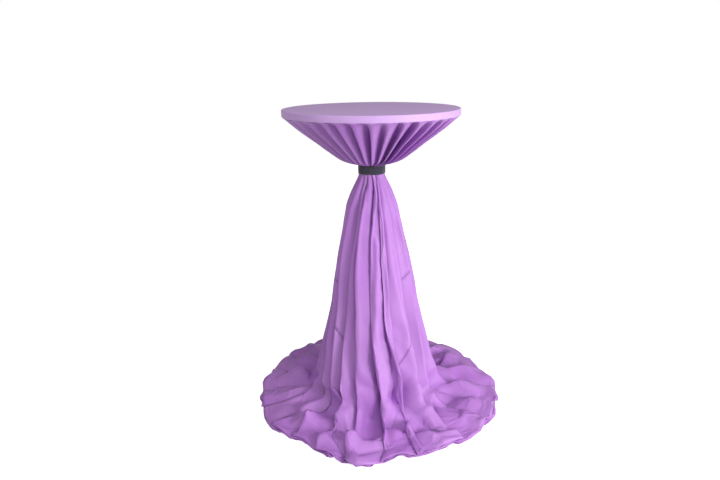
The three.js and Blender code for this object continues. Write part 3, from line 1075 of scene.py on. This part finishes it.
    def seam_tape(self, side: int, name: str) -> bpy.types.Object:
        """The tape behind a seam, on the right for side 1 and on the left for side -1."""
        y = np.linspace(-self.cut.chord() / 2 + 0.004, self.cut.chord() / 2 - 0.004, 380)
        near, far = side * (self.cut.seam - 0.005), side * (self.cut.seam + 0.005)
        first, second = (near, far) if side < 0 else (far, near)
        return self.ribbon(name, (np.full_like(y, first), y), (np.full_like(y, second), y), False, 0.0008)

    def hem(self) -> bpy.types.Object:
        """The turned edge, which lies under the cloth all round."""
        angle = np.arange(720) * 2 * math.pi / 720
        outer, inner = self.cut.radius - 0.0005, self.cut.radius - self.cut.hem
        edges = [(radius * np.cos(angle), radius * np.sin(angle)) for radius in (inner, outer)]
        return self.ribbon("cloth_hem", edges[0], edges[1], True, 0.0009)

    def stitch_line(self, name: str, x: np.ndarray, y: np.ndarray, closed: bool, grower: Grower) -> bpy.types.Object:
        """Sews a line of stitches on the outer face.

        Args:
            name: The name of the stitches.
            x: Across the flat cloth.
            y: Along the flat cloth.
            closed: Whether the line's ends meet.
            grower: The tree that makes the stitches.

        Returns:
            The stitches.
        """
        points = self.on_cloth(x, y, -0.0001)
        edges = [(k, k + 1) for k in range(len(points) - 1)] + ([(len(points) - 1, 0)] if closed else [])
        carrier = mesh_of(name + "_line", points, edges, [])
        return grower.grown(carrier, name, Pitch=0.005, Length=0.0034, Width=0.0005, Material=self.thread)

    def build(self) -> dict[str, bpy.types.Object]:
        """Makes the panels, the tapes, the hem and the stitches.

        Returns:
            Each piece by its name.
        """
        half = self.cut.seam_gap / 2
        seam, wide = self.cut.seam, self.cut.radius + 1
        sheet = self.whole()
        centre = self.panel(sheet, "cloth_centre", -seam + half, seam - half)
        left = self.panel(sheet, "cloth_left", -wide, -seam - half)
        right = self.panel(sheet, "cloth_right", seam + half, wide)
        bpy.data.objects.remove(sheet)
        stitches = stitch_grower()
        tapes = {side: self.seam_tape(turn, f"seam_tape_{side}") for side, turn in (("left", -1), ("right", 1))}
        y = np.linspace(-self.cut.chord() / 2 + 0.01, self.cut.chord() / 2 - 0.01, 380)
        rows = {}
        for side, turn in (("left", -1), ("right", 1)):
            x = np.full_like(y, turn * (seam - 0.003))
            rows[side] = self.stitch_line(f"seam_stitches_{side}", x, y, False, stitches)
        angle = np.arange(900) * 2 * math.pi / 900
        inner = self.cut.radius - self.cut.hem + 0.002
        hem = self.hem()
        hem_row = self.stitch_line("hem_stitches", inner * np.cos(angle), inner * np.sin(angle), True, stitches)
        pieces = {"centre": centre, "left": left, "right": right, "hem": hem, "hem_stitches": hem_row}
        pieces.update({f"tape_{side}": tape for side, tape in tapes.items()})
        pieces.update({f"stitches_{side}": row for side, row in rows.items()})
        self.declare(pieces)
        return pieces

    def declare(self, pieces: dict[str, bpy.types.Object]) -> None:
        """Attaches each piece of cloth to the table's body, and hides the cloth panels of the frame that it replaces.
        """
        for piece in pieces.values():
            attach(piece, ROOT_BODY)
        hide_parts("cloth_centre_panel")
        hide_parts("cloth_left_panel")
        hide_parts("cloth_right_panel")
        width, side = 2 * self.cut.radius, self.cut.segment()
        for name in ("left", "right"):
            self.cut.chord()


def stitch_grower() -> Grower:
    """The tree that lays a stitch at each step along a line."""
    grower = Grower("stitches", {"Pitch": "Float", "Length": "Float", "Width": "Float", "Material": "Material"})
    curve = grower.node("GeometryNodeMeshToCurve", {"Mesh": grower.start["Geometry"]}).outputs[0]
    points = grower.node("GeometryNodeCurveToPoints", {"Curve": curve, "Length": grower.start["Pitch"]},
                         {"mode": "LENGTH"})
    bead = grower.node("GeometryNodeMeshIcoSphere", {"Radius": 0.5, "Subdivisions": 1}).outputs[0]
    size = grower.node("ShaderNodeCombineXYZ", {0: grower.start["Width"], 1: grower.start["Width"],
                                                2: grower.start["Length"]}).outputs[0]
    stitch = grower.node("GeometryNodeTransform", {"Geometry": bead, "Scale": size}).outputs[0]
    placed = grower.node("GeometryNodeInstanceOnPoints", {
        "Points": points.outputs["Points"], "Instance": stitch, "Rotation": points.outputs["Rotation"],
    }).outputs[0]
    grower.finish(placed)
    return grower


# ---------------------------------------------------------------- strap
@dataclass
class Strap:
    """The hook-and-loop strap that gathers the cloth, with its overlap at the back.

    Attributes:
        thickness: The thickness of the strap.
        overlap: How far the ends overlap, in degrees.
        back: The direction of the middle of the overlap, in degrees.
        step: How far the outer end stands out over the inner one.
        ramp: How far the strap takes to climb onto the inner end, in degrees.
        pile: How many loops of nap stand on a square metre.
        seed: Sets the places of the loops.
    """

    thickness: float = 0.0015
    overlap: float = 70.0
    back: float = 90.0
    step: float = 0.0031
    ramp: float = 25.0
    pile: float = 420000.0
    seed: int = 3

    def __post_init__(self) -> None:
        """Reads the strap's place from the frame, and makes its finishes."""
        low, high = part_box("tie_band")
        self.bottom, self.top = low.z, high.z
        self.inner = -low.x - self.thickness
        self.material = NappedStrap().material("napped_strap")
        self.thread = Thread(linear(40, 40, 48)).material("dark_thread")

    def surface(self, rows: int, outside: float, margin: float = 0.0) -> np.ndarray:
        """A face of the strap as a grid.

        Args:
            rows: How many points go up the strap.
            outside: How far the face lies out from the inner one.
            margin: How far it stays from the strap's edges.

        Returns:
            The grid, with its rows from the top down.
        """
        start = self.back - self.overlap / 2
        degrees = np.linspace(start, start + 360 + self.overlap, 260)
        climb = self.step * eased((degrees - start - 360 + self.ramp) / self.ramp)
        turn = np.radians(degrees)
        uneven = 0.00025 * np.sin(9 * turn + 1) + 0.00015 * np.sin(17 * turn)
        radius = self.inner + climb + outside + uneven * (degrees < start + 360)
        wander = 0.0005 * np.sin(3 * turn + 0.5) + 0.0003 * np.sin(7 * turn)
        levels = np.linspace(self.top - margin, self.bottom + margin, rows)
        share = (levels - self.bottom) / (self.top - self.bottom)
        crown = 0.00035 * (1 - (2 * share - 1) ** 2)
        return np.stack([
            np.stack([(radius + crown[i]) * np.cos(turn), (radius + crown[i]) * np.sin(turn),
                      levels[i] + wander], -1)
            for i in range(rows)
        ])

    def build(self) -> dict[str, bpy.types.Object]:
        """Makes the strap, its nap and its edge stitches.

        Returns:
            Each piece by its name.
        """
        grid = self.surface(9, self.thickness)
        band = mesh_of("strap", grid.reshape(-1, 3), [], grid_faces(*grid.shape[:2], False))
        band.data.materials.append(self.material)
        band = thickened(band, self.thickness)
        cover = self.surface(5, self.thickness, 0.0006)
        carrier = mesh_of("nap_cover", cover.reshape(-1, 3), [], grid_faces(*cover.shape[:2], False))
        nap = pile_grower().grown(carrier, "strap_nap", Density=self.pile, Height=0.00045, Yarn=0.00009,
                                  Seed=self.seed, Material=self.material)
        stitches = stitch_grower()
        rows = {}
        for name, row in (("upper", 0), ("lower", -1)):
            line = self.surface(3, self.thickness + 0.0002, 0.0025)[row]
            edges = [(k, k + 1) for k in range(len(line) - 1)]
            carrier = mesh_of(f"strap_{name}_line", line, edges, [])
            rows[name] = stitches.grown(carrier, f"strap_stitches_{name}", Pitch=0.003, Length=0.0022, Width=0.0006,
                                        Material=self.thread)
        pieces = {"band": band, "nap": nap, **rows}
        for piece in pieces.values():
            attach(piece, ROOT_BODY)
        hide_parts("tie_band")
        return pieces


def pile_grower() -> Grower:
    """The tree that stands loops of yarn on a surface, each turned its own way."""
    grower = Grower("pile", {"Density": "Float", "Height": "Float", "Yarn": "Float", "Seed": "Int",
                             "Material": "Material"})
    points = grower.node("GeometryNodeDistributePointsOnFaces", {
        "Mesh": grower.start["Geometry"], "Density": grower.start["Density"], "Seed": grower.start["Seed"],
    })
    arc = grower.node("GeometryNodeCurveArc", {"Resolution": 5, "Radius": grower.start["Height"],
                                               "Sweep Angle": math.pi}).outputs[0]
    yarn = grower.node("GeometryNodeCurvePrimitiveCircle", {"Resolution": 3, "Radius": grower.start["Yarn"]})
    loop = grower.node("GeometryNodeCurveToMesh", {"Curve": arc, "Profile Curve": yarn.outputs[0]}).outputs[0]
    upright = grower.node("GeometryNodeTransform", {"Geometry": loop, "Rotation": (math.pi / 2, 0, 0)}).outputs[0]
    spin = grower.node("FunctionNodeRandomValue", {2: 0.0, 3: 2 * math.pi, "Seed": grower.start["Seed"]},
                       {"data_type": "FLOAT"}).outputs[1]
    about = grower.node("ShaderNodeCombineXYZ", {2: spin}).outputs[0]
    turned = grower.node("FunctionNodeRotateRotation", {
        0: points.outputs["Rotation"], 1: grower.node("FunctionNodeEulerToRotation", {0: about}).outputs[0],
    }, {"rotation_space": "LOCAL"}).outputs[0]
    placed = grower.node("GeometryNodeInstanceOnPoints", {
        "Points": points.outputs["Points"], "Instance": upright, "Rotation": turned,
    }).outputs[0]
    grower.finish(placed)
    return grower


# ---------------------------------------------------------------- rigid pieces
class TableFrame:
    """The rigid pieces of the table, which keep their shapes and get their finishes."""

    finishes = {
        "tabletop_board": Finish.BOARD,
        "tabletop_edge_band": Finish.PLASTIC,
        "top_spider": Finish.PAINT,
        "column_head_plug": Finish.PAINT,
        "column_foot_plug": Finish.PAINT,
        "base_plate": Finish.PAINT,
        "glide_pad": Finish.PLASTIC,
        "tie_band": Finish.STRAP,
    }

    def dress(self) -> dict[Finish, int]:
        """Gives each rigid piece its finish.

        Returns:
            How many pieces have each finish.
        """
        materials = {finish: finish.value.material(finish.name.lower()) for finish in Finish}
        counts = {finish: 0 for finish in Finish}
        for name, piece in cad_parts.items():
            if name.startswith("cloth_"):
                continue
            chosen = next((f for start, f in self.finishes.items() if name.startswith(start)), Finish.STEEL)
            piece.data.materials.clear()
            piece.data.materials.append(materials[chosen])
            counts[chosen] += 1
        return counts


# ---------------------------------------------------------------- studio
@dataclass
class Studio:
    """The pale floor, the soft light and the camera.

    Attributes:
        lens: The focal length, in millimetres.
        distance: How far the camera is in front of the column.
        height: The camera's height.
        pitch: How far it looks down, in degrees.
        roll: How far it leans, in degrees.
        shift: How far the picture is shifted sideways, as a share of its width.
        glow: The strength of the surroundings from below and from above.
        lamps: The name, place, side in metres and power in watts of each light.
    """

    lens: float = 28.0
    distance: float = 1.94
    height: float = 1.2455
    pitch: float = 17.53
    roll: float = -0.7
    shift: float = -0.0175
    glow: tuple = (0.38, 0.27)
    lamps: tuple = (
        ("key", (2.4, -2.5, 1.5), 1.2, 78.0),
        ("fill", (-2.6, -2.2, 1.7), 2.4, 20.0),
        ("side", (2.6, -0.9, 0.35), 1.2, 32.0),
        ("above", (0.6, -1.8, 2.9), 1.8, 30.0),
    )

    def build(self) -> None:
        """Makes the floor, the lights, the world and the camera."""
        self.floor()
        self.world()
        for lamp in self.lamps:
            self.light(*lamp)
        self.camera()
        bpy.context.scene.view_settings.view_transform = "Standard"

    def floor(self) -> None:
        """A wide white floor."""
        plane = mesh_of("floor", [(-9, -9, -0.0006), (9, -9, -0.0006), (9, 9, -0.0006), (-9, 9, -0.0006)], [],
                        [(0, 1, 2, 3)])
        shader = Shader("pale_floor")
        plane.data.materials.append(shader.done(Base_Color=(0.9, 0.9, 0.9, 1), Roughness=0.9,
                                                Emission_Color=(1, 1, 1, 1), Emission_Strength=0.8))
        plane.visible_diffuse = False

    def world(self) -> None:
        """White all round as the camera sees it, and dimmer as light, least from above."""
        world = bpy.data.worlds.new("studio")
        bpy.context.scene.world = world
        world.use_nodes = True
        tree = world.node_tree
        background = tree.nodes["Background"]
        background.inputs[0].default_value = (1, 1, 1, 1)
        place = tree.nodes.new("ShaderNodeTexCoord")
        axes = tree.nodes.new("ShaderNodeSeparateXYZ")
        ramp = tree.nodes.new("ShaderNodeMapRange")
        for key, value in zip(("From Min", "From Max", "To Min", "To Max"), (-0.2, 0.5, *self.glow)):
            ramp.inputs[key].default_value = value
        seen = tree.nodes.new("ShaderNodeLightPath")
        mix = tree.nodes.new("ShaderNodeMix")
        mix.inputs[3].default_value = 1.0
        tree.links.new(place.outputs["Generated"], axes.inputs[0])
        tree.links.new(axes.outputs[2], ramp.inputs["Value"])
        tree.links.new(seen.outputs["Is Camera Ray"], mix.inputs[0])
        tree.links.new(ramp.outputs[0], mix.inputs[2])
        tree.links.new(mix.outputs[0], background.inputs[1])

    def light(self, name: str, place: tuple, size: float, power: float) -> None:
        """A square soft light that points at the middle of the table.

        Args:
            name: The light's name.
            place: Where it stands.
            size: The side of the square.
            power: Its power, in watts.
        """
        lamp = bpy.data.lights.new(name, "AREA")
        lamp.size = size
        lamp.energy = power
        holder = bpy.data.objects.new(name, lamp)
        bpy.context.scene.collection.objects.link(holder)
        holder.location = place
        holder.rotation_euler = (Vector((0, 0, 0.55)) - Vector(place)).to_track_quat("-Z", "Y").to_euler()

    def camera(self) -> None:
        """The camera, in front of the table."""
        data = bpy.data.cameras.new("camera")
        data.lens, data.sensor_width, data.shift_x = self.lens, 36.0, self.shift
        camera = bpy.data.objects.new("camera", data)
        bpy.context.scene.collection.objects.link(camera)
        tilt = Matrix.Rotation(math.radians(90 - self.pitch), 4, "X")
        lean = Matrix.Rotation(math.radians(self.roll), 4, "Z")
        camera.matrix_world = Matrix.Translation((0, -self.distance, self.height)) @ tilt @ lean
        bpy.context.scene.camera = camera


def report(pieces: dict[str, bpy.types.Object]) -> None:
    """Logs the size of each piece."""
    for piece in pieces.values():
        LOG.info("%s: %d faces", piece.name, len(piece.data.polygons))


def main() -> None:
    """Builds the scene."""
    logging.basicConfig(level=logging.INFO, format="%(name)s %(message)s")
    Studio().build()
    for finish, count in TableFrame().dress().items():
        LOG.info("%s on %d rigid pieces", finish.name.lower(), count)
    report(Strap().build())
    report(Cloth().build())


if __name__ == "__main__":
    main()
